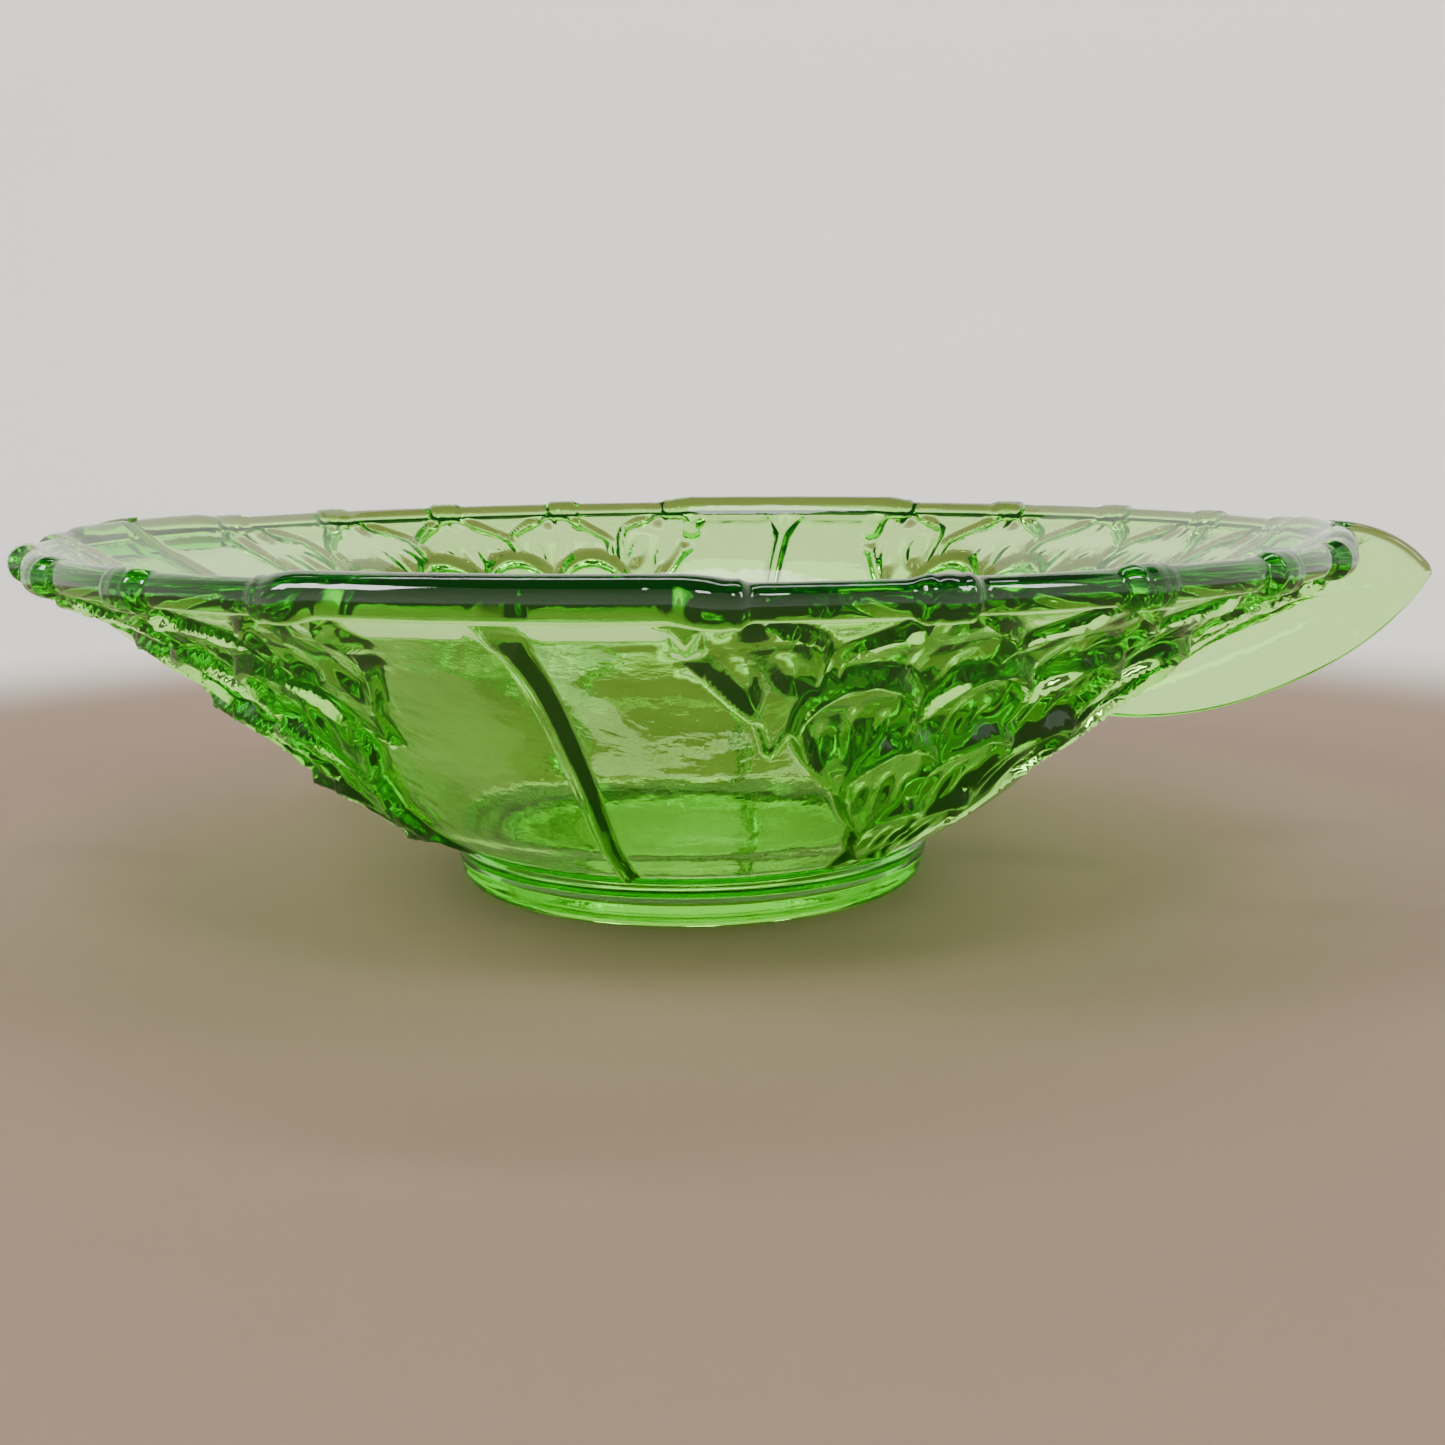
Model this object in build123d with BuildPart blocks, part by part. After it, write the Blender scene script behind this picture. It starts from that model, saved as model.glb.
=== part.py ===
"""Two-handled pressed glass dish with four panels of fish-scale relief.

The dish is one pressing of green glass. The model divides it where the design divides it:
a foot ring, a floor, four plain panels, four scale panels with their raised arches, the rim
over each panel, two low ribs and two side handles. Neighbours meet face to face.

Frame: millimetres, +Z up, origin at the centre of the foot's underside. The handles lie
along +X and -X, the two ribbed plain panels face -Y and +Y.
"""

from build123d import *
import os
from math import atan2, cos, hypot, radians, sin

os.makedirs("parts", exist_ok=True)

# ---- driving dimensions -------------------------------------------------------------------
FOOT_RADIUS = 43.0            # outside of the foot where it stands
FOOT_TOP_RADIUS = 44.6        # outside of the foot where the bowl starts
FOOT_INNER_RADIUS = 36.0      # recess under the floor, at the bottom
FLOOR_RADIUS = 40.0
RECESS_HEIGHT = 5.0           # depth of the recess under the floor
FLOOR_TOP = 9.6
WALL_START = 9.0              # height at which the bowl's outer wall leaves the foot

RIM_RADIUS = 112.0            # centre line of the rim bead over a scale panel
RIM_HEIGHT = 62.0             # height of that centre line
WALL_THICKNESS = 3.6          # at the rim
BEAD_RADIUS = 2.6
BEAD_CROWN = 4.4              # from the wall's end to the far side of the bead
PLAIN_RIM_CROWN = 6.9         # the same over a plain panel, where the rim swells
RIM_SLOPE = 36.0              # degrees, slope of the wall's centre line at the rim

STRIP_HALF_WIDTH = 28.2       # a plain panel is a strip of even width, foot to rim
PLAIN_RIM_HALF_ANGLE = 12.5   # degrees of rim that each plain panel's swelling takes
KNUCKLE_RADIUS = 3.3          # rounded knots along the beaded rim
KNUCKLE_PITCH = 14.9          # degrees from knot to knot

SCALE_ROWS = 5                # rows of scales; the top row has as many scales and rim knots
POLE_RADIUS = 40.6            # distance from the axis to the point that a fan's scales spread from
CROWN_REACHES = (68.0, 59.4, 45.9, 31.3, 18.0)   # from that pole to each row's crowns, in plan
SPOKE_PITCHES = (22.4, 19.9, 19.9, 19.9, 19.9)   # degrees from scale to scale, seen from the pole
SCALE_WIDTHS = (26.5, 20.4, 16.4, 11.6, 8.6)
FAN_OVERHANG = 4.0            # how far the outermost arches reach over the plain panels
PANEL_SLOPE = 40.0            # degrees, mean slope of a scale panel
ARCH_HEIGHT = 2.2             # how far an arch stands off its panel
ARCH_OUTER = 0.47             # radius of an arch's outer edge, as a share of the scale's width
ARCH_INNER = 0.42             # radius of its inner edge
ARCH_DROP = 0.12              # how far the inner edge's centre lies below the outer one's
ARCH_LEG = 0.10               # how far the legs reach below the arch's centre
ARCH_LEAN = (0.62, 0.78)      # radius and height shares of ARCH_HEIGHT, square to the wall

RIB_WIDTH = 3.0
RIB_HEIGHT = 1.8
RIB_LEAN = (0.6, 0.8)         # radius and height shares of RIB_HEIGHT, square to the wall
HANDLE_THICKNESS = 4.6
HANDLE_TIP_RADIUS = 130.0
HANDLE_TIP_HEIGHT = 57.5
HANDLE_EDGE_RADIUS = 1.6
HANDLE_ROOT = (92.5, 50.4)    # a point inside the wall's thickness, which the bowl then cuts off
HANDLE_BELLY = [(125.3, 50.4), (108.0, 37.4), (90.0, 31.6), (73.0, 32.0)]
HANDLE_TOP_START = (RIM_RADIUS + 1.0, RIM_HEIGHT + 2.5)

FOOT_EDGE_RADIUS = 1.0        # round of the foot's standing edges
FOOT_TAPER = 0.5              # how much the foot narrows from its top to the recess's level
RECESS_TAPER = 1.0            # how much the recess narrows upwards
CUT_SIZE = 300.0              # larger than the dish in every direction


# ---- profiles -----------------------------------------------------------------------------
def rim_point(along, across):
    """A point of the rim's section, measured from the wall's end along and across its slope."""
    slope = radians(RIM_SLOPE)
    end_radius = RIM_RADIUS - (BEAD_CROWN - BEAD_RADIUS) * cos(slope)
    end_height = RIM_HEIGHT - (BEAD_CROWN - BEAD_RADIUS) * sin(slope)
    radius = end_radius + along * cos(slope) + across * sin(slope)
    height = end_height + along * sin(slope) - across * cos(slope)
    return (radius, height)


WALL_END_OUTER = rim_point(0, WALL_THICKNESS / 2)
WALL_END_INNER = rim_point(0, -WALL_THICKNESS / 2)

OUTER_TANGENTS = ((1.0, 0.25), (1.0, 0.72))    # direction at the foot and at the rim
INNER_TANGENTS = ((1.0, 0.35), (1.0, 0.70))
PLAIN_OUTER = [(FOOT_TOP_RADIUS, WALL_START), (56.0, 15.6), (76.0, 34.0), (94.0, 48.9), WALL_END_OUTER]
SCALE_OUTER = [(FOOT_TOP_RADIUS, WALL_START), (57.0, 14.8), (80.0, 35.0), (96.5, 49.6), WALL_END_OUTER]
INNER = [(FLOOR_RADIUS, FLOOR_TOP), (53.0, 18.8), (73.0, 37.6), (91.0, 51.6), WALL_END_INNER]


def wall_section(outer_points):
    """The bowl's wall between the foot and the rim, drawn in the XZ plane."""
    with BuildSketch(Plane.XZ) as section:
        with BuildLine():
            outer = Spline(*outer_points, tangents=OUTER_TANGENTS)
            Line(outer @ 1, INNER[-1])
            inner = Spline(*INNER, tangents=INNER_TANGENTS)
            foot_joint = (FOOT_TOP_RADIUS - FOOT_TAPER, RECESS_HEIGHT)
            Polyline(inner @ 0, (FLOOR_RADIUS, RECESS_HEIGHT), foot_joint, outer @ 0)
        make_face()
    return section.sketch


def rim_section(crown):
    """The rim's rounded section: one arc round from the wall's outer edge to its inner edge."""
    with BuildSketch(Plane.XZ) as section:
        with BuildLine():
            round_edge = ThreePointArc(WALL_END_OUTER, rim_point(crown, 0), WALL_END_INNER)
            Line(round_edge @ 1, round_edge @ 0)
        make_face()
    return section.sketch


def outer_slope(outer_points, radius):
    """Height and slope, in radians, of a wall's outer face at one radius."""
    with BuildLine(Plane.XZ) as outline:
        Spline(*outer_points, tangents=OUTER_TANGENTS)
    curve = outline.line.edges()[0]
    low = 0.0
    high = 1.0
    for _ in range(40):
        middle = (low + high) / 2
        if (curve @ middle).X < radius:
            low = middle
        else:
            high = middle
    tangent = curve % low
    return (curve @ low).Z, atan2(tangent.Z, tangent.X)


def finish(builder, name):
    """Label one finished piece and write it."""
    builder.part.label = name
    export_step(builder.part, f"parts/{name}.step")
    print(f"{name:28s} {builder.part.volume / 1000.0:8.2f} cm3  solids {len(builder.part.solids())}")


# ---- foot and floor -----------------------------------------------------------------------
with BuildPart() as foot_ring:
    with BuildSketch(Plane.XZ):
        with BuildLine():
            Polyline(
                (FOOT_INNER_RADIUS, 0),
                (FOOT_RADIUS, 0),
                (FOOT_TOP_RADIUS - FOOT_TAPER, RECESS_HEIGHT),
                (FOOT_INNER_RADIUS - RECESS_TAPER, RECESS_HEIGHT),
                close=True,
            )
        make_face()
    revolve(axis=Axis.Z)
    fillet(foot_ring.edges().group_by(Axis.Z)[0], radius=FOOT_EDGE_RADIUS)
finish(foot_ring, "foot_ring")

with BuildPart() as bowl_floor:
    with BuildSketch(Plane.XY.offset(RECESS_HEIGHT)):
        Circle(FLOOR_RADIUS)
    extrude(amount=FLOOR_TOP - RECESS_HEIGHT)
finish(bowl_floor, "bowl_floor")


# ---- the eight panels of the wall ---------------------------------------------------------
SIDES = {"right": 0, "back": 90, "left": 180, "front": 270}
CORNERS = {"back_right": 45, "back_left": 135, "front_left": 225, "front_right": 315}

for side, angle in SIDES.items():
    with BuildPart() as plain_panel:
        add(wall_section(PLAIN_OUTER))
        revolve(axis=Axis.Z)
        with Locations(Plane.XY.rotated((0, 0, angle)).location):
            sideways = (Align.MIN, Align.CENTER, Align.CENTER)
            Box(CUT_SIZE, 2 * STRIP_HALF_WIDTH, CUT_SIZE, align=sideways, mode=Mode.INTERSECT)
    finish(plain_panel, f"plain_panel_{side}")


def keep_corner(angle, offset):
    """Keep only the corner of the piece being built that lies past two neighbouring strips."""
    quarter = (Align.MIN, Align.MIN, Align.CENTER)
    with Locations(Plane.XY.rotated((0, 0, angle - 45)).location):
        with Locations((offset, offset)):
            Box(CUT_SIZE, CUT_SIZE, CUT_SIZE, align=quarter, mode=Mode.INTERSECT)


def scale_places():
    """Each scale's distance and angle from the fan's pole, and its width, from the rim down."""
    places = []
    for row in range(SCALE_ROWS):
        count = SCALE_ROWS - row
        width = SCALE_WIDTHS[row]
        reach = CROWN_REACHES[row] - ARCH_OUTER * width * cos(radians(PANEL_SLOPE))
        for index in range(count):
            turn = (index - (count - 1) / 2) * SPOKE_PITCHES[row]
            places.append((reach, turn, width))
    return places


def arch_band():
    """The layer that the arches fill, from the plain wall's face out to the arches' tops."""
    outward = ARCH_HEIGHT * ARCH_LEAN[0]
    downward = ARCH_HEIGHT * ARCH_LEAN[1]
    top_points = [(x + outward, z - downward) for x, z in SCALE_OUTER]
    with BuildSketch(Plane.XZ) as band:
        with BuildLine():
            near = Spline(*PLAIN_OUTER, tangents=OUTER_TANGENTS)
            far = Spline(*top_points, tangents=OUTER_TANGENTS)
            Line(near @ 0, far @ 0)
            Line(near @ 1, far @ 1)
        make_face()
    return band.sketch


def arch_plane(angle, reach, turn):
    """The plane that touches a scale panel at one scale, its y axis up the scale's own spoke."""
    middle = radians(angle)
    heading = radians(angle + turn)
    x = POLE_RADIUS * cos(middle) + reach * cos(heading)
    y = POLE_RADIUS * sin(middle) + reach * sin(heading)
    radius = hypot(x, y)
    height, slope = outer_slope(SCALE_OUTER, radius)
    outward = Vector(sin(slope) * x / radius, sin(slope) * y / radius, -cos(slope))
    spoke = Vector(cos(heading), sin(heading), 0)
    return Plane(origin=(x, y, height), x_dir=spoke.cross(outward), z_dir=outward)


for corner, angle in CORNERS.items():
    with BuildPart() as scale_panel:
        add(wall_section(SCALE_OUTER))
        revolve(axis=Axis.Z)
        keep_corner(angle, STRIP_HALF_WIDTH)
    finish(scale_panel, f"scale_panel_{corner}")

    # Each arch is a crescent with its crown up the slope, raised out of the panel.
    with BuildPart() as scale_arches:
        for reach, turn, width in scale_places():
            leg_box = (Align.CENTER, Align.MAX)
            with BuildSketch(arch_plane(angle, reach, turn)):
                Circle(ARCH_OUTER * width)
                with Locations((0, -ARCH_DROP * width)):
                    Circle(ARCH_INNER * width, mode=Mode.SUBTRACT)
                with Locations((0, -ARCH_LEG * width)):
                    Rectangle(width, width, align=leg_box, mode=Mode.SUBTRACT)
            extrude(amount=2 * ARCH_HEIGHT, both=True)
        add(arch_band())
        revolve(axis=Axis.Z, mode=Mode.INTERSECT)
        keep_corner(angle, STRIP_HALF_WIDTH - FAN_OVERHANG)
        add(scale_panel.part, mode=Mode.SUBTRACT)
    finish(scale_arches, f"scale_arches_{corner}")


# ---- rim ----------------------------------------------------------------------------------
for side, angle in SIDES.items():
    with BuildPart() as rim_plain:
        add(rim_section(PLAIN_RIM_CROWN).rotate(Axis.Z, angle - PLAIN_RIM_HALF_ANGLE))
        revolve(axis=Axis.Z, revolution_arc=2 * PLAIN_RIM_HALF_ANGLE)
    finish(rim_plain, f"rim_plain_{side}")

for corner, angle in CORNERS.items():
    start = angle - 45 + PLAIN_RIM_HALF_ANGLE
    with BuildPart() as rim_bead:
        add(rim_section(BEAD_CROWN).rotate(Axis.Z, start))
        revolve(axis=Axis.Z, revolution_arc=90 - 2 * PLAIN_RIM_HALF_ANGLE)
        with Locations((0, 0, RIM_HEIGHT)):
            first = angle - (SCALE_ROWS - 1) / 2 * KNUCKLE_PITCH
            spread = (SCALE_ROWS - 1) * KNUCKLE_PITCH
            with PolarLocations(RIM_RADIUS, SCALE_ROWS, first, spread, endpoint=True):
                Sphere(KNUCKLE_RADIUS)
        add(wall_section(SCALE_OUTER))
        revolve(axis=Axis.Z, mode=Mode.SUBTRACT)
    finish(rim_bead, f"rim_bead_{corner}")


# ---- ribs and handles ---------------------------------------------------------------------
def clear_bowl():
    """Take the plain wall and its rim out of the piece being built, so that they only touch."""
    for section in (wall_section(PLAIN_OUTER), rim_section(PLAIN_RIM_CROWN)):
        add(section)
        revolve(axis=Axis.Z, mode=Mode.SUBTRACT)


for side in ("front", "back"):
    outward = RIB_HEIGHT * RIB_LEAN[0]
    downward = RIB_HEIGHT * RIB_LEAN[1]
    crest = [(x + outward, z - downward) for x, z in PLAIN_OUTER]
    rib_root = (FOOT_TOP_RADIUS, FLOOR_TOP + RIB_HEIGHT)
    with BuildPart() as rib:
        with BuildSketch(Plane.XZ):
            with BuildLine():
                low_edge = Spline(*crest, tangents=OUTER_TANGENTS)
                Polyline(low_edge @ 1, WALL_END_INNER, rib_root, low_edge @ 0)
            make_face()
        extrude(amount=RIB_WIDTH / 2, both=True)
        clear_bowl()
    rib.part = rib.part.rotate(Axis.Z, SIDES[side])
    finish(rib, f"rib_{side}")

for side in ("right", "left"):
    with BuildPart() as handle:
        with BuildSketch(Plane.XZ):
            with BuildLine():
                tip = (HANDLE_TIP_RADIUS, HANDLE_TIP_HEIGHT)
                top = Line(HANDLE_TOP_START, tip)
                belly = Spline(tip, *HANDLE_BELLY)
                Polyline(belly @ 1, HANDLE_ROOT, top @ 0)
            make_face()
        extrude(amount=HANDLE_THICKNESS / 2, both=True)
        side_face = HANDLE_THICKNESS / 2 - 0.01
        outside = handle.edges().filter_by(lambda e: abs(e.center().Y) > side_face)
        fillet(outside, radius=HANDLE_EDGE_RADIUS)
        clear_bowl()
    handle.part = handle.part.rotate(Axis.Z, SIDES[side])
    finish(handle, f"handle_{side}")
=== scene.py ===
# %% [markdown]
# # A pressed glass dish, made as one skin of glass
#
# The real dish is pressed from a single gob of green glass. The mould gives the outside its
# plain panels, scales, ribs and handles, and a smooth plunger gives the inside its plain face.
# Glass shows every surface, the hidden ones too, so the whole dish has to be one closed skin:
# where two solids touched inside the wall, light would bounce off a face that isn't there.
#
# The skin is a grid of points. One direction of the grid runs round the dish, in columns.
# The other runs along the section, in rows: from the middle of the floor, up the inside, over
# the rim, down the outside and under the foot. A row is a ring of points, and every step
# below moves whole rings at once.

import math

import bpy
import numpy as np
from mathutils import Matrix, Vector


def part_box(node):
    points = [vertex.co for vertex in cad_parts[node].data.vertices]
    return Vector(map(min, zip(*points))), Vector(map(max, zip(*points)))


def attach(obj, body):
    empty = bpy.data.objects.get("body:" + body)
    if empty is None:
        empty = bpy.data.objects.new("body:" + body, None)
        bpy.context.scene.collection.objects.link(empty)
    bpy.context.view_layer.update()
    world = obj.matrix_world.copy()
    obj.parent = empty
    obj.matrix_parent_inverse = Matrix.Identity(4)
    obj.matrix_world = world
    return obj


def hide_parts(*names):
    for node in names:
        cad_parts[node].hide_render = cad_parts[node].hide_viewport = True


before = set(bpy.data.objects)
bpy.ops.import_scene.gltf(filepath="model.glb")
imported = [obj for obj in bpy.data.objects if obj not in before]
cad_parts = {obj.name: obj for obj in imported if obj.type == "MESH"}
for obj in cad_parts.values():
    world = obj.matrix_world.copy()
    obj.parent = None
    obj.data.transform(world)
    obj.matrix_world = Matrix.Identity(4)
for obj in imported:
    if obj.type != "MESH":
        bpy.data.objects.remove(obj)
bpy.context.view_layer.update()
print("solids in the measured model:", len(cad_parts))

# %% [markdown]
# ## Sizes
# Some sizes start from the measured model: a solid's box says how wide the foot is, where the
# floor lies, and how far the handle reaches and how thick it is. The rim and the wall's curves
# are given as numbers. Work goes on in millimetres, as a glass maker would, and the mesh is
# turned into metres at the very end.

# %% Driving sizes, in millimetres
MM = 1000.0


def span(node):
    """A solid's lowest and highest corner, in millimetres."""
    low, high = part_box(node)
    return np.array(low) * MM, np.array(high) * MM


FOOT_TOP_RADIUS = span("foot_ring")[1][0]
RECESS_TOP = span("bowl_floor")[0][2]
FLOOR_TOP = span("bowl_floor")[1][2]
RIM_RADIUS = 112.0
HANDLE_REACH = span("handle_right")[1][0]
HANDLE_HALF = span("handle_right")[1][1]
print(f"foot radius {FOOT_TOP_RADIUS:.1f}, floor from {RECESS_TOP:.1f} to {FLOOR_TOP:.1f} mm")
print(f"handle reaches {HANDLE_REACH:.1f} mm and is {2 * HANDLE_HALF:.1f} mm thick")

# %% [markdown]
# ## Two small tools
# A smooth step turns a distance into a soft 0-to-1 edge, which is how pressed glass turns
# every corner. A smooth curve through a few points draws the dish's sections: between two
# points it is a cubic whose slope at each point is the slope between that point's neighbours.


# %% A soft step and a smooth curve
def soft_step(low, high, value):
    """0 below low, 1 above high, and 3t^2 - 2t^3 between, where t is how far along value is.
    When low is the larger of the two, it falls from 1 to 0 instead."""
    t = np.clip((value - low) / (high - low), 0.0, 1.0)
    return t * t * (3.0 - 2.0 * t)


def smooth_curve(points, count, start_slope=None, end_slope=None):
    """Points evenly spaced along a cubic curve through the given points.

    Each span is p0 (2t^3-3t^2+1) + m0 (t^3-2t^2+t) + p1 (3t^2-2t^3) + m1 (t^3-t^2), where m is
    the slope at a point times the span's length."""
    p = np.array(points, float)
    knots = np.concatenate([[0.0], np.cumsum(np.linalg.norm(np.diff(p, axis=0), axis=1))])
    slope = np.gradient(p, knots, axis=0)
    slope /= np.linalg.norm(slope, axis=1)[:, None]
    if start_slope is not None:
        slope[0] = np.array(start_slope) / np.hypot(*start_slope)
    if end_slope is not None:
        slope[-1] = np.array(end_slope) / np.hypot(*end_slope)
    s = np.linspace(0.0, knots[-1], 600)
    i = np.clip(np.searchsorted(knots, s, side="right") - 1, 0, len(p) - 2)
    length = (knots[i + 1] - knots[i])[:, None]
    t = (s[:, None] - knots[i][:, None]) / length
    fine = (
        p[i] * (2 * t**3 - 3 * t**2 + 1)
        + slope[i] * length * (t**3 - 2 * t**2 + t)
        + p[i + 1] * (3 * t**2 - 2 * t**3)
        + slope[i + 1] * length * (t**3 - t**2)
    )
    along = np.concatenate([[0.0], np.cumsum(np.linalg.norm(np.diff(fine, axis=0), axis=1))])
    even = np.linspace(0.0, along[-1], count)
    return np.stack([np.interp(even, along, fine[:, 0]), np.interp(even, along, fine[:, 1])], 1)


# %% [markdown]
# ## Columns: where the points stand round the dish
# The dish has four plain panels, at its front, back and sides, and a fan of scales at each
# corner between them. Scales need columns about 0.7 mm apart, and a plain panel hardly needs
# any, so each quarter has few columns in its panel and many in its fan. The middle of every
# panel gets its own close columns, because a rib or a handle stands there.

# %% Azimuths of the columns
FAN_HALF_ANGLE = 31.0
FAN_COLUMNS = 149
plate_angles = np.array([0.55, 1.18, 1.62, 1.82, 2.05, 2.35, 2.85])
panel_angles = np.linspace(3.7, 90 - 45 - FAN_HALF_ANGLE - 0.5, 10)
side_angles = np.concatenate([plate_angles, panel_angles])
fan_angles = np.linspace(45 - FAN_HALF_ANGLE, 45 + FAN_HALF_ANGLE, FAN_COLUMNS)
quarter = np.concatenate([[0.0], side_angles, fan_angles, 90 - side_angles[::-1]])
azimuth = np.radians(np.concatenate([quarter + 90 * k for k in range(4)]))
COLUMNS = len(azimuth)
print("columns round the dish:", COLUMNS)

# %% [markdown]
# ## The section of the wall
# Outside and inside are two gentle S curves that rise from the foot to the rim. They are
# 3.6 mm apart near the rim and thicker towards the foot, as in any pressed bowl.

# %% Outer and inner wall sections (radius, height)
OUTER_ROWS = 100
INNER_ROWS = 22
outer_wall = smooth_curve(
    [(FOOT_TOP_RADIUS, 9.0), (56.0, 15.6), (76.0, 34.0), (94.0, 48.9), (111.6, 59.5)],
    OUTER_ROWS, (1.0, 0.25), (1.0, 0.72),
)
inner_wall = smooth_curve(
    [(40.0, FLOOR_TOP), (53.0, 18.8), (73.0, 37.6), (91.0, 51.6), (109.49, 62.4)],
    INNER_ROWS, (1.0, 0.35), (1.0, 0.70),
)
print(f"outer rows every {np.hypot(*np.diff(outer_wall, axis=0).T).mean():.2f} mm")

# %% [markdown]
# ## The fans of scales
# Each corner holds 15 overlapping scales in five rows. They all point away from one pole near
# the foot, 40.6 mm out from the dish's middle, so a scale is easy to place with two numbers:
# the angle of its spoke from the pole, and how far its crown stands out along it.
#
# A scale is a round-headed arch. Its edge is a thick rounded crest that drops steeply to the
# scale above, and its field sinks like a spoon, with three almond hollows. Each row is laid
# over the one above it, like paint: where a scale covers a point, the point takes the scale's
# height instead of what was there. The top row's arches come to a blunt point, and the lower
# rows' arches are round.

# %% Sizes of the scales, row by row from the rim to the foot
POLE_RADIUS = 40.6
TOP_CROWN_RADIUS = 113.9
EDGE_STEP = 1.3


def rim_reach(spokes, radius):
    """Distance along each spoke from the pole to a circle round the dish's middle: the far
    root of the circle's equation, sqrt(R^2 - (p sin a)^2) - p cos a."""
    turn = np.radians(spokes)
    return np.sqrt(radius**2 - (POLE_RADIUS * np.sin(turn)) ** 2) - POLE_RADIUS * np.cos(turn)


def spread_spokes(count, pitch):
    """Evenly spread angles about zero."""
    return (np.arange(count) - (count - 1) / 2) * pitch


top_spokes = spread_spokes(5, 22.3)
scale_rows = [
    dict(spokes=top_spokes, crowns=rim_reach(top_spokes, TOP_CROWN_RADIUS), half=12.7, head=11.0,
         crest=2.0, hollow=-0.1, base=1.3, width=3.4, bow=1.35),
]
for count, crown, half, head, crest, hollow, base, width in (
    (4, 58.6, 8.9, 10.0, 2.9, 0.6, 2.9, 3.9),
    (3, 44.6, 7.1, 8.5, 4.6, 2.4, 3.1, 3.1),
    (2, 30.2, 5.2, 6.5, 4.6, 2.5, 1.9, 2.6),
    (1, 17.2, 4.2, 5.0, 3.0, 1.3, 0.6, 1.9),
):
    spokes = spread_spokes(count, 19.85)
    steps_out = (np.arange(count) - (count - 1) / 2) ** 2
    scale_rows.append(dict(
        spokes=spokes, crowns=crown * (1 + 0.02 * steps_out), half=half, head=head,
        crest=crest, hollow=hollow, base=base, width=width, bow=2.0))
print("scales in each fan:", sum(len(row["spokes"]) for row in scale_rows))

# %% [markdown]
# A scale's outline is an arch above its widest line and a narrowing tail below it, like a
# petal. The arch is |a|^n + |b|^n = 1, which is half an ellipse when n is 2 and more pointed
# when n is less. The distance inward from that outline says everything else: the steep edge,
# the rounded crest, and where the field begins to sink.


# %% The height of one fan above the plain wall
def almond(along, across, middle, length, width, depth):
    """A hollow shaped like an almond: depth times (1 - a^2 - b^2)^1.5, floored at nothing,
    where a and b are the distances from its middle along and across, over its half sizes."""
    inside = 1.0 - ((along - middle[0]) / length) ** 2 - ((across - middle[1]) / width) ** 2
    return -depth * np.clip(inside, 0.0, 1.0) ** 1.5


def fan_height(x, y):
    """Height of the relief at a plan point, where y runs out along the fan's middle."""
    reach = np.hypot(x, y - POLE_RADIUS)
    spoke = np.degrees(np.arctan2(x, y - POLE_RADIUS))
    height = np.zeros_like(reach)
    for row in scale_rows:
        near = np.argmin(np.abs(spoke[..., None] - row["spokes"]), axis=-1)
        turn = np.radians(spoke - row["spokes"][near])
        along = reach * np.cos(turn)
        across = reach * np.sin(turn)
        size = row["half"]
        widest = row["crowns"][near] - row["head"]
        up = (along - widest) / row["head"]
        tail = (widest - along) / (2.1 * size)
        away = (np.abs(up) ** row["bow"] + np.abs(across / size) ** row["bow"]) ** (1 / row["bow"])
        head_inward = (1.0 - away) * np.where(up > 0.7, row["head"] * 1.2, size)
        tail_inward = size * (1.0 - tail**2) - np.abs(across)
        inward = np.where(up > 0, head_inward, tail_inward)
        crownness = np.clip(up / np.maximum(away, 1e-6), 0.0, 1.0)
        last = len(row["spokes"]) - 1
        side = np.sign(across)
        outer_side = ((near == last) & (side > 0)) | ((near == 0) & (side < 0))
        if len(row["spokes"]) == 5:
            flank = 5.8 * (1.0 - np.clip((73.0 - along) / 22.0, 0.0, None) ** 2) - np.abs(across)
            inward = np.where(outer_side, np.minimum(inward, flank), inward)
        if last:
            half_pitch = np.radians(row["spokes"][1] - row["spokes"][0]) / 2
            seam = (half_pitch - np.abs(turn)) * reach + 0.9
            inward = np.where(outer_side, inward, np.minimum(inward, seam))
        inward = np.where(np.abs(spoke) < 75.0, inward, -1.0)
        crest_width = row["width"] * (0.40 + 0.60 * crownness)
        leg_top = row["base"] + 0.55 * (row["crest"] - row["hollow"])
        crest_top = leg_top + (row["crest"] - leg_top) * crownness
        past_crest = soft_step(0.60 * crest_width, crest_width + 0.5, inward)
        field = row["hollow"] + (row["base"] - row["hollow"]) * soft_step(0.3, -1.3, up)
        surface = crest_top + (field - crest_top) * past_crest
        for shift, drop, long, deep in ((0.0, 0.55, 0.62, 0.14), (0.50, 0.60, 0.46, 0.12),
                                        (-0.50, 0.60, 0.46, 0.12)):
            surface = surface + almond(along - widest, across, (-drop * size, shift * size),
                                       long * size, 0.17 * size, deep * size)
        beak = np.exp(-((across / 0.8) ** 2) - ((inward - 1.3) / 1.2) ** 2) * (up > 0)
        surface = surface + 0.5 * beak
        cover = soft_step(0.0, EDGE_STEP, inward)
        height = height + (surface - height) * cover
    return height * soft_step(1.0, 7.0, reach)


# %% [markdown]
# ## The ribs on the front and back panels
# One slim rib runs up the middle of the front panel and one up the back. It is a soft ridge,
# 3.4 mm wide, that spreads into the rim at the top and fades where it meets the foot.


# %% The height of a rib
RIB_HEIGHT = 1.7
RIB_HALF_WIDTH = 1.7


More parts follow.
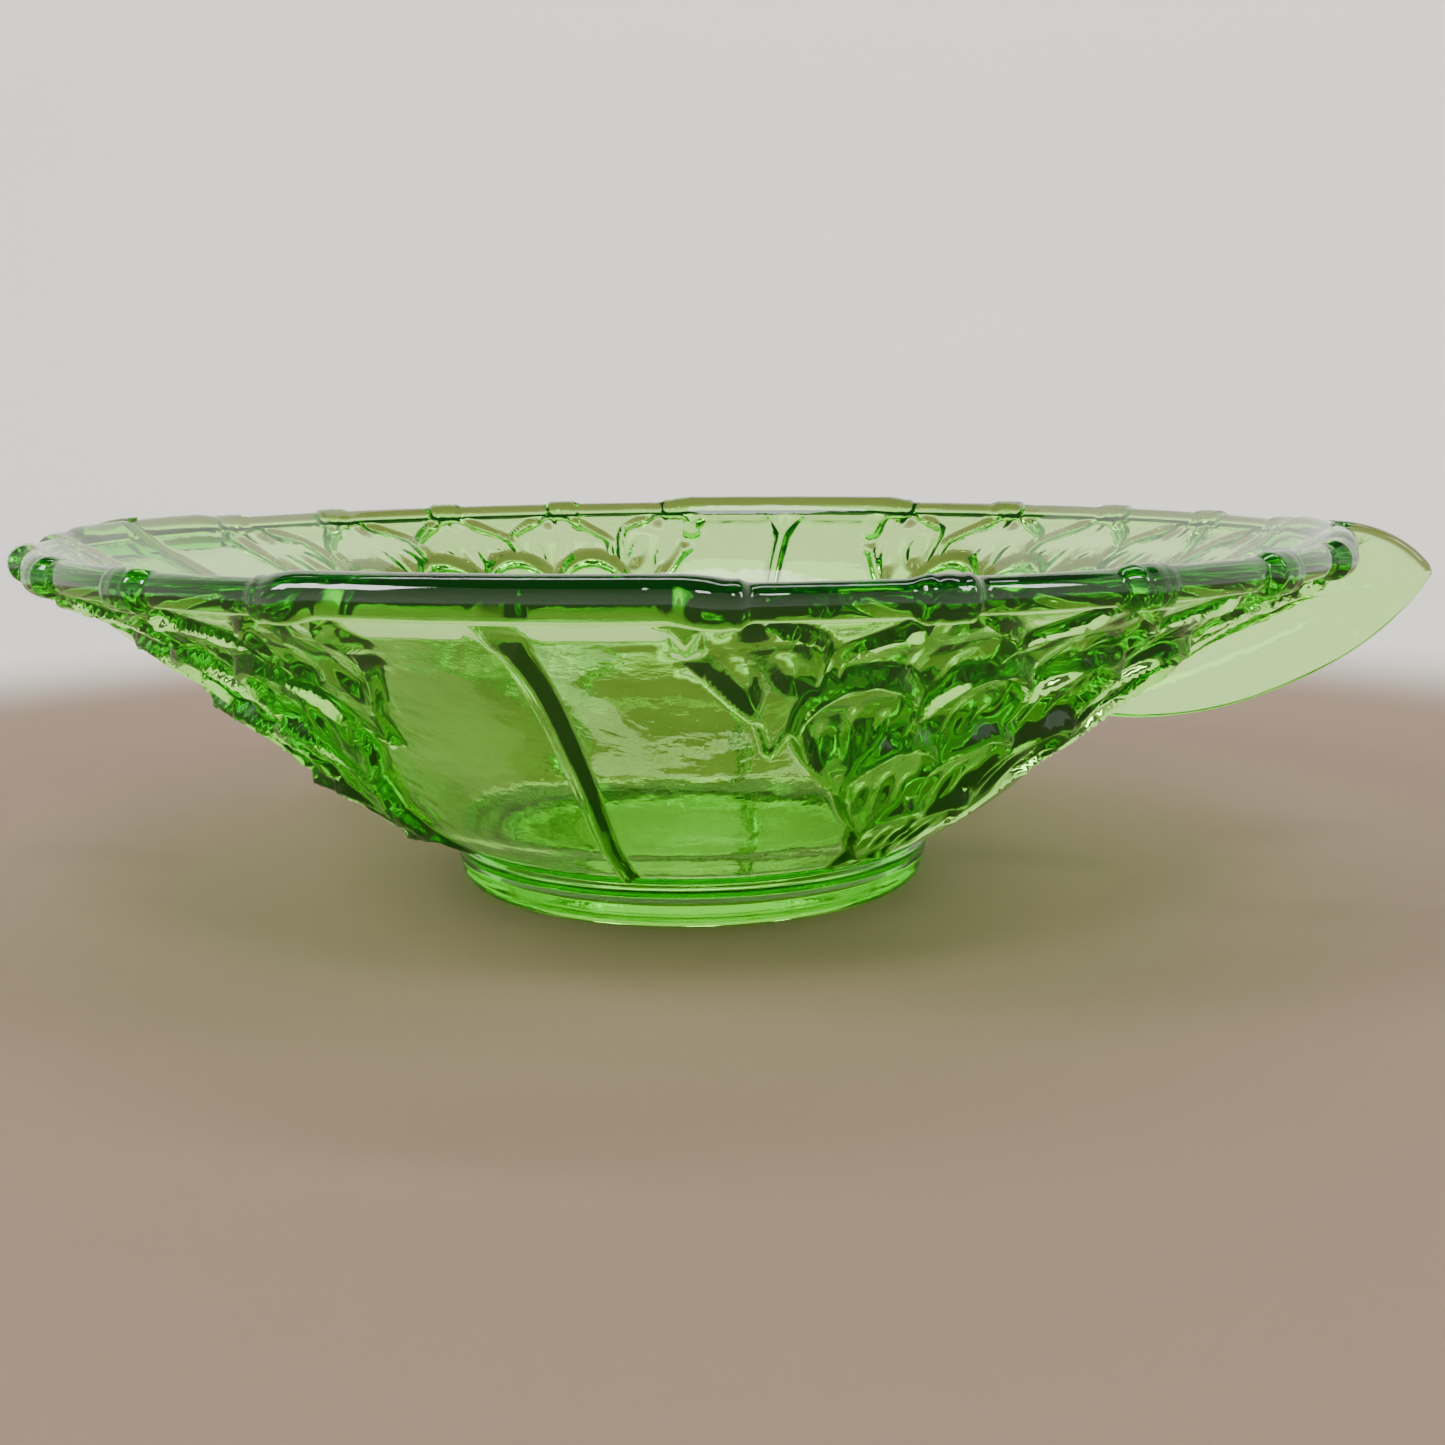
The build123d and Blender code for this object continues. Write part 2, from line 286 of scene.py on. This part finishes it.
def rib_height(side, radius):
    """A ridge: height times (1 - (side / half width)^2)^1.4, with the half width growing near
    the rim and the height growing from nothing just above the foot."""
    spread = RIB_HALF_WIDTH + 4.5 * soft_step(96.0, RIM_RADIUS + 3, radius) ** 2
    ridge = np.clip(1.0 - (side / spread) ** 2, 0.0, 1.0) ** 1.4
    return RIB_HEIGHT * ridge * soft_step(45.5, 49.0, radius)


# %% [markdown]
# A steep edge that crosses the grid at a slant would come out as a staircase. So every point
# takes the mean of the relief at nine places around it, less than half a step apart. Each fan
# is also turned a degree towards the ribbed panel beside it.

# %% Lay the relief on the outer wall
FAN_LEAN = 1.0
NUDGES_PER_STEP = 2.4
SOFTENING = [
    (a / NUDGES_PER_STEP, b / NUDGES_PER_STEP) for a in (-1, 0, 1) for b in (-1, 0, 1)
]
tangent = np.gradient(outer_wall, axis=0)
tangent /= np.linalg.norm(tangent, axis=1)[:, None]
normal = np.stack([tangent[:, 1], -tangent[:, 0]], 1)
wall_radius = outer_wall[:, 0][:, None] + 0 * azimuth
wall_height = outer_wall[:, 1][:, None] + 0 * azimuth
lean = np.where((azimuth % math.pi) < math.pi / 2, -1.0, 1.0) * math.radians(FAN_LEAN)
corner = (azimuth % (math.pi / 2)) - math.pi / 4 + lean
relief = 0 * wall_radius
for nudge_turn, nudge_out in SOFTENING:
    near_corner = corner + nudge_turn * math.radians(FAN_HALF_ANGLE * 2 / FAN_COLUMNS)
    near_radius = wall_radius + nudge_out * (outer_wall[-1, 0] - outer_wall[0, 0]) / OUTER_ROWS
    relief += fan_height(near_radius * np.sin(near_corner), near_radius * np.cos(near_corner))
relief /= len(SOFTENING)
from_panel = (azimuth + math.pi / 4) % (math.pi / 2) - math.pi / 4
on_rib_panel = np.abs(np.sin(azimuth)) > math.sqrt(0.5)
ribs = rib_height(wall_radius * np.sin(from_panel), wall_radius) * on_rib_panel
relief = np.maximum(relief, ribs)
outer_r = wall_radius + normal[:, 0][:, None] * relief
outer_z = wall_height + normal[:, 1][:, None] * relief
print(f"relief stands up to {relief.max():.1f} mm proud of the plain wall")

# %% [markdown]
# ## The rim
# The rim is a round bead. In each fan five barrel-shaped knots ride on it, one at each crown
# of the top row, and over the plain panels it swells and rises a little. The plunger that
# pressed the inside left it smooth, so a knot stands outwards and the bead lies flush with the
# inner wall: its circle touches the inner wall's line, whatever its radius, except over a plain
# panel, where the whole bead stands 0.9 mm higher.

# %% The bead's middle and radius at each column
BEAD_ROWS = 15
BEAD_RADIUS = 2.5
KNOT_GROWTH = 0.75
KNOT_HALF_WIDTH = 4.0
SWELL_GROWTH = 0.6
SWELL_RISE = 0.9
INNER_SLOPE = math.atan(0.70)
knot_angles = np.radians([-29.8, -15.2, 0.0, 15.2, 29.8])
to_knot = np.abs(corner[:, None] - knot_angles).min(axis=1) * RIM_RADIUS
barrel = np.clip(1.0 - (to_knot / KNOT_HALF_WIDTH) ** 2, 0.0, 1.0)
collar = np.exp(-(((to_knot - 2.9) / 0.75) ** 2))
knot = barrel + 0.45 * collar
swell = soft_step(15.5, 11.0, np.abs(np.degrees(from_panel)))
bead_radius = BEAD_RADIUS + KNOT_GROWTH * knot + SWELL_GROWTH * swell
up_line = 2.4 + 0.9 * knot + 0.4 * swell
wall_end_r, wall_end_z = inner_wall[-1]
slope_cos, slope_sin = math.cos(INNER_SLOPE), math.sin(INNER_SLOPE)
bead_r = wall_end_r + up_line * slope_cos + bead_radius * slope_sin
bead_z = wall_end_z + up_line * slope_sin - bead_radius * slope_cos + SWELL_RISE * swell
bead_start = math.radians(-104.0)
bead_end = math.pi / 2 + INNER_SLOPE
bead_turn = np.linspace(bead_start, bead_end, BEAD_ROWS)[:, None]
rim_r = bead_r + bead_radius * np.cos(bead_turn)
rim_z = bead_z + bead_radius * np.sin(bead_turn)
print(f"rim top {rim_z.max():.1f} mm, rim radius {rim_r.max():.1f} mm")

# %% [markdown]
# The wall has to end where the bead begins, so the last few rows on both sides of the wall
# slide over to meet it.

# %% Bring the wall to the bead
meet = soft_step(OUTER_ROWS - 9, OUTER_ROWS - 1, np.arange(OUTER_ROWS, dtype=float))[:, None]
outer_r = outer_r + meet * (rim_r[0] - outer_r[-1])
outer_z = outer_z + meet * (rim_z[0] - outer_z[-1])

# %% [markdown]
# ## The handles
# A handle is a flat fin of glass that stands on the wall, in line with the dish's middle. Its
# outline leaves the wall low down, sweeps out to a tip a little below the rim, and comes back
# along a rounded top edge. The grid already has close columns there. In every row they are
# pulled from the wall out to a point of the outline, and the columns on each side of the
# middle stop a little short of it, which rounds the fin's edge.

# %% The fin's outline, and which row reaches which point of it
FIN_START = 73.0
FIN_TURN = 94.0
FIN_FOOT_HEIGHT = 31.6
FIN_TIP_HEIGHT = 57.1
EDGE_RADIUS = 1.6
TOP_ROWS = 10
belly = smooth_curve(
    [(FIN_START, FIN_FOOT_HEIGHT), (90.0, FIN_FOOT_HEIGHT), (108.0, 37.6), (125.0, 50.0),
     (HANDLE_REACH - 0.5, 56.2)],
    300, (1.0, -0.25), (0.45, 1.0),
)
top = smooth_curve(
    [(HANDLE_REACH - 0.5, 58.5), (126.0, 61.9), (120.0, 64.9), (112.6, 66.0)],
    120, (-0.6, 0.8), (-1.0, 0.05),
)
outline = np.concatenate([belly, [(HANDLE_REACH, FIN_TIP_HEIGHT)], top])
outline_step = np.linalg.norm(np.diff(outline, axis=0), axis=1)
outline_along = np.concatenate([[0.0], np.cumsum(outline_step)])
tip_along = outline_along[len(belly)]
weight = 1.0 + 4.0 * np.exp(-(((outline_along - tip_along) / 3.0) ** 2))
weighted = np.concatenate([[0.0], np.cumsum(outline_step * (weight[1:] + weight[:-1]) / 2)])
first = int(np.searchsorted(outer_wall[:, 0], FIN_START))
turn_row = int(np.searchsorted(outer_wall[:, 0], FIN_TURN))
last = OUTER_ROWS - 1 + TOP_ROWS
fin_rows = np.arange(first, last + 1)
at_tip = np.interp(tip_along, outline_along, weighted)
place = np.interp(fin_rows, [first, turn_row, last], [0.0, at_tip, weighted[-1]])
reach_r = np.interp(place, weighted, outline[:, 0])
reach_z = np.interp(place, weighted, outline[:, 1])
print(f"fin: rows {first} to {last}, outline {outline_along[-1]:.0f} mm long")

# %% Pull the fin's columns out of the wall
body_r = np.concatenate([outer_r, rim_r[1:]])
body_z = np.concatenate([outer_z, rim_z[1:]])
body_x = body_r * np.cos(azimuth)
body_y = body_r * np.sin(azimuth)
fin_short = np.array([0.0, 0.0, 0.21, 0.80, EDGE_RADIUS])
fin_side = HANDLE_HALF * np.array([0.0, 0.30, 0.65, 0.91, 1.0])
root_lift = np.array([0.9, 0.25])
root_side = HANDLE_HALF + np.array([0.0, 0.28])
outline_slope = np.gradient(np.stack([reach_r, reach_z], 1), axis=0)
outline_slope /= np.linalg.norm(outline_slope, axis=1)[:, None]
for middle, outward in ((0, 1.0), (2 * len(quarter), -1.0)):
    wall_r = body_r[fin_rows, middle].copy()
    wall_z = body_z[fin_rows, middle].copy()
    fin = np.stack([reach_r - wall_r, reach_z - wall_z], 1)
    length = np.linalg.norm(fin, axis=1)
    straight = np.abs(fin[:, 0] * -outline_slope[:, 1] + fin[:, 1] * outline_slope[:, 0])
    straight = np.clip(straight / np.maximum(length, 1e-6), 0.45, 1.0)
    for step in range(8):
        for hand in ((1,) if step == 0 else (1, -1)):
            column = (middle + hand * step) % COLUMNS
            if step < 5:
                part = 1.0 - fin_short[step] / straight / np.maximum(length, 1e-6)
                side = fin_side[step]
            elif step < 7:
                part = root_lift[step - 5] / np.maximum(length, 1e-6)
                side = root_side[step - 5]
            else:
                part = 0.0 * length
                side = HANDLE_HALF + 1.1
            part = np.clip(part, 0.0, 1.0)
            if 5 <= step < 7:
                part = np.minimum(part, np.clip(1 - EDGE_RADIUS / np.maximum(length, 1e-6), 0, 1))
            body_x[fin_rows, column] = outward * (wall_r + fin[:, 0] * part)
            body_z[fin_rows, column] = wall_z + fin[:, 1] * part
            body_y[fin_rows, column] = outward * hand * side
print(f"fin tip at {body_x.max():.1f} mm")

# %% [markdown]
# ## Closing the skin
# Now the rings are strung together, from the middle of the floor to the middle of the
# underside. The smooth inside and the foot don't need every column, so their rings keep one
# column in two or in four, and a band of triangles joins a fine ring to a coarse one. The two
# ends close in a single point each, so the skin has no hole anywhere.

# %% The plain rings: floor, inside, foot and underside
inner_kept = inner_wall[inner_wall[:, 0] < RIM_RADIUS - 4.0]
floor_rings = [(r, FLOOR_TOP) for r in (10.0, 20.0, 30.0, 37.5)]
foot_side = [
    (44.45, 8.55), (44.0, 8.25), (44.0, 7.95), (44.4, 7.65), (44.5, 6.9), (44.35, 6.0),
    (44.0, 5.75), (43.95, 5.5), (44.2, 5.2), (44.1, 4.2), (43.9, 2.9), (43.5, 1.7),
    (42.9, 0.8), (42.1, 0.25), (41.2, 0.0),
]
underside = [
    (39.5, 0.0), (37.5, 0.0), (36.7, 0.3), (36.2, 1.0), (35.8, 2.4), (35.3, 4.0), (34.6, 4.8),
    (33.4, RECESS_TOP), (25.0, RECESS_TOP), (14.0, RECESS_TOP), (6.0, RECESS_TOP),
]


def plain_ring(radius, height, stride):
    """A level circle at every stride-th column."""
    turn = azimuth[::stride]
    return np.stack([radius * np.cos(turn), radius * np.sin(turn), 0 * turn + height], 1)


lip_x, lip_y, lip_z = body_x[-1], body_y[-1], body_z[-1]
last_inner = inner_kept[-1]
between = 0.5 * np.stack([lip_x, lip_y, lip_z], 1) + 0.5 * plain_ring(*last_inner, 1)
rings = [np.array([[0.0, 0.0, FLOOR_TOP]])]
rings += [plain_ring(r, z, 4) for r, z in floor_rings]
rings += [plain_ring(r, z, 4) for r, z in inner_kept]
rings += [between[::2]]
rings += [np.stack([body_x[i], body_y[i], body_z[i]], 1) for i in range(len(body_x))[::-1]]
rings += [plain_ring(r, z, 2) for r, z in foot_side]
rings += [plain_ring(r, z, 4) for r, z in underside]
rings += [np.array([[0.0, 0.0, RECESS_TOP]])]
print("rings:", len(rings), "points:", sum(len(r) for r in rings))


# %% Join each ring to the next
def band(a_start, a_count, b_start, b_count):
    """Faces between two rings: quads where their counts match, three triangles for every
    coarse column where one ring has twice the points, and a plain fan at a pole."""
    if a_count < b_count:
        return [f[:, ::-1] for f in band(b_start, b_count, a_start, a_count)]
    i = np.arange(a_count)
    if b_count == 1:
        return [np.stack([a_start + i, a_start + (i + 1) % a_count, b_start + 0 * i], 1)]
    if a_count == b_count:
        j = (i + 1) % a_count
        return [np.stack([a_start + i, a_start + j, b_start + j, b_start + i], 1)]
    k = np.arange(b_count)
    left, mid, right = a_start + 2 * k, a_start + 2 * k + 1, a_start + (2 * k + 2) % a_count
    low, high = b_start + k, b_start + (k + 1) % b_count
    return [np.stack(t, 1) for t in ((left, mid, low), (mid, right, high), (mid, high, low))]


GLASS_DENSITY = 2550.0
points = np.concatenate(rings) / MM
starts = np.concatenate([[0], np.cumsum([len(r) for r in rings])])
patches = []
for k in range(len(rings) - 1):
    patches += band(starts[k], len(rings[k]), starts[k + 1], len(rings[k + 1]))
triangles = np.concatenate(
    [patch[:, [0, i, i + 1]] for patch in patches for i in range(1, patch.shape[1] - 1)])
a, b, c = points[triangles[:, 0]], points[triangles[:, 1]], points[triangles[:, 2]]
volume = np.einsum("ij,ij->i", a, np.cross(b, c)).sum() / 6
if volume < 0:
    patches = [patch[:, ::-1] for patch in patches]
faces = [face for patch in patches for face in patch.tolist()]
weight_kg = abs(volume) * GLASS_DENSITY
print(f"triangles {len(triangles)}, glass {abs(volume) * 1e6:.0f} cm3, {weight_kg:.2f} kg")

# %% Put the skin in the scene
skin = bpy.data.meshes.new("dish_glass")
skin.from_pydata(points.tolist(), [], faces)
skin.polygons.foreach_set("use_smooth", np.ones(len(faces), bool))
skin.validate()
skin.update()
dish = bpy.data.objects.new("dish_glass", skin)
bpy.context.scene.collection.objects.link(dish)
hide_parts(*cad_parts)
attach(dish, "root")

# %% [markdown]
# ## The glass
# Green glass gets its colour from depth: thin walls look pale, and the bead and the crests,
# where light travels a long way inside, look a deep vivid green. That is Volume Absorption,
# which takes away red and blue for every millimetre, so the surface itself stays nearly
# clear. Pressed glass also keeps a trace of the mould, so a noise gives the surface a faint
# waviness and slightly uneven polish. A renderer gives up on light that has bounced inside the
# glass too often, and leaves black there, so the whole surface is given a very faint painted
# green glow, an emission that stands in for the light lost in those places.


# %% A group for slow unevenness
def unevenness():
    """A noise at two scales, one slow and one fine, put out as a value about 0.5."""
    group = bpy.data.node_groups.new("unevenness", "ShaderNodeTree")
    for name, default in (("Slow", 60.0), ("Fine", 600.0), ("Fine Share", 0.3)):
        socket = group.interface.new_socket(name, in_out="INPUT", socket_type="NodeSocketFloat")
        socket.default_value = default
    group.interface.new_socket("Value", in_out="OUTPUT", socket_type="NodeSocketFloat")
    nodes, links = group.nodes, group.links
    given = nodes.new("NodeGroupInput")
    out = nodes.new("NodeGroupOutput")
    place = nodes.new("ShaderNodeTexCoord")
    slow = nodes.new("ShaderNodeTexNoise")
    fine = nodes.new("ShaderNodeTexNoise")
    mix = nodes.new("ShaderNodeMix")
    slow.inputs["Detail"].default_value = 2.0
    fine.inputs["Detail"].default_value = 3.0
    links.new(place.outputs["Object"], slow.inputs["Vector"])
    links.new(place.outputs["Object"], fine.inputs["Vector"])
    links.new(given.outputs["Slow"], slow.inputs["Scale"])
    links.new(given.outputs["Fine"], fine.inputs["Scale"])
    links.new(given.outputs["Fine Share"], mix.inputs["Factor"])
    links.new(slow.outputs["Fac"], mix.inputs["A"])
    links.new(fine.outputs["Fac"], mix.inputs["B"])
    links.new(mix.outputs["Result"], out.inputs["Value"])
    return group


uneven = unevenness()


def uneven_node(material, slow, fine, share):
    """Places the group in a material with its own scales."""
    node = material.node_tree.nodes.new("ShaderNodeGroup")
    node.node_tree = uneven
    node.inputs["Slow"].default_value = slow
    node.inputs["Fine"].default_value = fine
    node.inputs["Fine Share"].default_value = share
    return node


def between_values(material, value, low, high):
    """Stretches a 0-to-1 value to run from low to high."""
    node = material.node_tree.nodes.new("ShaderNodeMapRange")
    node.inputs["From Min"].default_value = 0.3
    node.inputs["From Max"].default_value = 0.7
    node.inputs["To Min"].default_value = low
    node.inputs["To Max"].default_value = high
    material.node_tree.links.new(value, node.inputs["Value"])
    return node.outputs["Result"]


# %% The glass material
GLASS_KEEPS = (0.52, 0.955, 0.12, 1.0)
GLASS_DEPTH = 200.0
GLASS_TINT = (0.90, 1.0, 0.72, 1.0)
# Painted glow: a faint green emission over the whole glass, standing in for light lost after too
# many bounces inside it.
PAINTED_GLOW_COLOUR = (0.05, 1.0, 0.03, 1.0)
PAINTED_GLOW_STRENGTH = 0.007
glass = bpy.data.materials.new("green pressed glass")
glass.use_nodes = True
glass_nodes, glass_links = glass.node_tree.nodes, glass.node_tree.links
shader = glass_nodes["Principled BSDF"]
shader.inputs["Base Color"].default_value = GLASS_TINT
shader.inputs["Metallic"].default_value = 0.0
shader.inputs["IOR"].default_value = 1.52
shader.inputs["Transmission Weight"].default_value = 1.0
# This emission is the painted glow; the glass is no lamp.
shader.inputs["Emission Color"].default_value = PAINTED_GLOW_COLOUR
shader.inputs["Emission Strength"].default_value = PAINTED_GLOW_STRENGTH
polish = uneven_node(glass, 45.0, 420.0, 0.35)
glass_links.new(
    between_values(glass, polish.outputs["Value"], 0.005, 0.045), shader.inputs["Roughness"])
ripple = uneven_node(glass, 70.0, 260.0, 0.25)
bump = glass_nodes.new("ShaderNodeBump")
bump.inputs["Strength"].default_value = 0.12
bump.inputs["Distance"].default_value = 0.0012
glass_links.new(ripple.outputs["Value"], bump.inputs["Height"])
glass_links.new(bump.outputs["Normal"], shader.inputs["Normal"])
depth = glass_nodes.new("ShaderNodeVolumeAbsorption")
depth.inputs["Color"].default_value = GLASS_KEEPS
depth.inputs["Density"].default_value = GLASS_DEPTH
glass_links.new(depth.outputs["Volume"], glass_nodes["Material Output"].inputs["Volume"])
skin.materials.append(glass)
print("glass takes per metre:", [round(GLASS_DEPTH * (1 - v), 1) for v in GLASS_KEEPS[:3]])

# %% [markdown]
# ## The stage
# The dish stands on a plain floor that curves up into a pale wall all the way round, so that a
# camera on any side sees the same calm backdrop. The floor is a mid tan near the dish, since
# clear glass takes on the tone of what lies behind it, and blends to the wall's off-white.

# %% A round floor with a curved wall
STAGE_RADIUS = 0.95
STAGE_CURVE = 0.30
STAGE_TOP = 1.1
STAGE_COLUMNS = 96
curve_turn = np.linspace(0, math.pi / 2, 14)
stage_r = np.concatenate([
    [0.0], np.linspace(0.1, STAGE_RADIUS - STAGE_CURVE, 6)[:-1],
    STAGE_RADIUS - STAGE_CURVE + STAGE_CURVE * np.sin(curve_turn), [STAGE_RADIUS]])
stage_z = np.concatenate([np.zeros(6), STAGE_CURVE * (1 - np.cos(curve_turn)), [STAGE_TOP]])
stage_turn = np.linspace(0, 2 * math.pi, STAGE_COLUMNS, endpoint=False)
stage_rings = [
    np.stack([r * np.cos(stage_turn), r * np.sin(stage_turn), z + 0 * stage_turn], 1)
    for r, z in zip(stage_r[1:], stage_z[1:])
]
stage_points = np.concatenate([[[0.0, 0.0, 0.0]], *stage_rings])
around = np.arange(STAGE_COLUMNS)
ahead = (around + 1) % STAGE_COLUMNS
stage_faces = np.stack([0 * around, 1 + around, 1 + ahead], 1).tolist()
for k in range(len(stage_rings) - 1):
    low = 1 + STAGE_COLUMNS * k
    high = low + STAGE_COLUMNS
    stage_faces += np.stack([low + around, high + around, high + ahead, low + ahead], 1).tolist()
stage_mesh = bpy.data.meshes.new("backdrop")
stage_mesh.from_pydata(stage_points.tolist(), [], stage_faces)
stage_mesh.polygons.foreach_set("use_smooth", np.ones(len(stage_faces), bool))
stage_mesh.update()
backdrop = bpy.data.objects.new("backdrop", stage_mesh)
bpy.context.scene.collection.objects.link(backdrop)
print(f"backdrop {2 * STAGE_RADIUS:.1f} m across")

# %% A matt paint for the stage, tan in the middle and off-white outside
TAN = (0.27, 0.19, 0.14, 1.0)
OFF_WHITE = (0.86, 0.84, 0.80, 1.0)
TAN_ENDS = 0.26
OFF_WHITE_STARTS = 0.42
paint = bpy.data.materials.new("pale backdrop paint")
paint.use_nodes = True
paint_shader = paint.node_tree.nodes["Principled BSDF"]
spot = paint.node_tree.nodes.new("ShaderNodeTexCoord")
distance = paint.node_tree.nodes.new("ShaderNodeVectorMath")
distance.operation = "LENGTH"
tone = paint.node_tree.nodes.new("ShaderNodeMapRange")
tone.interpolation_type = "SMOOTHSTEP"
tone.inputs["From Min"].default_value = TAN_ENDS
tone.inputs["From Max"].default_value = OFF_WHITE_STARTS
colour = paint.node_tree.nodes.new("ShaderNodeMix")
colour.data_type = "RGBA"
colour.inputs["A"].default_value = TAN
colour.inputs["B"].default_value = OFF_WHITE
paint.node_tree.links.new(spot.outputs["Object"], distance.inputs[0])
paint.node_tree.links.new(distance.outputs["Value"], tone.inputs["Value"])
paint.node_tree.links.new(tone.outputs["Result"], colour.inputs["Factor"])
paint.node_tree.links.new(colour.outputs["Result"], paint_shader.inputs["Base Color"])
paint_shader.inputs["Specular IOR Level"].default_value = 0.2
chalk = uneven_node(paint, 3.0, 90.0, 0.3)
paint.node_tree.links.new(
    between_values(paint, chalk.outputs["Value"], 0.75, 0.95), paint_shader.inputs["Roughness"])
stage_mesh.materials.append(paint)

# %% [markdown]
# ## Light
# Three small soft windows stand high in front and at the sides. Glass shows light sources as
# its highlights, so they are small and bright enough to draw clean white marks on the bead and
# the crests. A wide panel washes the wall behind the dish, whose glow then shines through the
# glass, and a dim sky fills in from everywhere.


# %% Light panels and the sky
def light_panel(name, place, aim, width, height, power):
    """An area light at a place, facing an aim point."""
    lamp = bpy.data.lights.new(name, "AREA")
    lamp.shape = "RECTANGLE"
    lamp.size = width
    lamp.size_y = height
    lamp.energy = power
    panel = bpy.data.objects.new(name, lamp)
    panel.location = place
    panel.rotation_mode = "QUATERNION"
    panel.rotation_quaternion = (Vector(aim) - Vector(place)).to_track_quat("-Z", "Y")
    panel.visible_camera = False
    bpy.context.scene.collection.objects.link(panel)
    return panel


middle = (0.0, 0.0, 0.03)
light_panel("window_left", (-0.50, -0.50, 0.60), middle, 0.22, 0.26, 4.5)
light_panel("window_front", (0.20, -0.62, 0.75), middle, 0.30, 0.12, 2.8)
light_panel("window_right", (0.70, -0.20, 0.60), middle, 0.12, 0.32, 2.4)
light_panel("wall_wash", (0.0, 0.25, 1.10), (0.0, 0.95, 0.35), 1.2, 0.30, 9.0)
sky = bpy.data.worlds.new("soft grey sky")
sky.use_nodes = True
sky.node_tree.nodes["Background"].inputs["Color"].default_value = (0.95, 0.97, 1.0, 1.0)
sky.node_tree.nodes["Background"].inputs["Strength"].default_value = 0.12
bpy.context.scene.world = sky

# %% [markdown]
# ## The camera
# The camera stands low and close in front of the dish, to the right of the front panel's
# middle, and looks slightly down, so that the far rim shows over the near one.

# %% Camera
CAMERA_SIDE = math.radians(11.66)
CAMERA_DOWN = 0.1726
CAMERA_ROLL = -0.0088
CAMERA_PLACE = (0.06956, -0.30805, 0.0826)
eye = bpy.data.cameras.new("camera")
eye.lens = 42.2
eye.sensor_width = 36.0
eye.clip_start = 0.01
eye.clip_end = 20.0
look = Vector((
    -math.sin(CAMERA_SIDE) * math.cos(CAMERA_DOWN),
    math.cos(CAMERA_SIDE) * math.cos(CAMERA_DOWN),
    -math.sin(CAMERA_DOWN),
))
camera = bpy.data.objects.new("camera", eye)
level = look.to_track_quat("-Z", "Y").to_matrix().to_4x4()
camera.matrix_world = (
    Matrix.Translation(CAMERA_PLACE) @ level @ Matrix.Rotation(CAMERA_ROLL, 4, "Z")
)
bpy.context.scene.collection.objects.link(camera)
bpy.context.scene.camera = camera
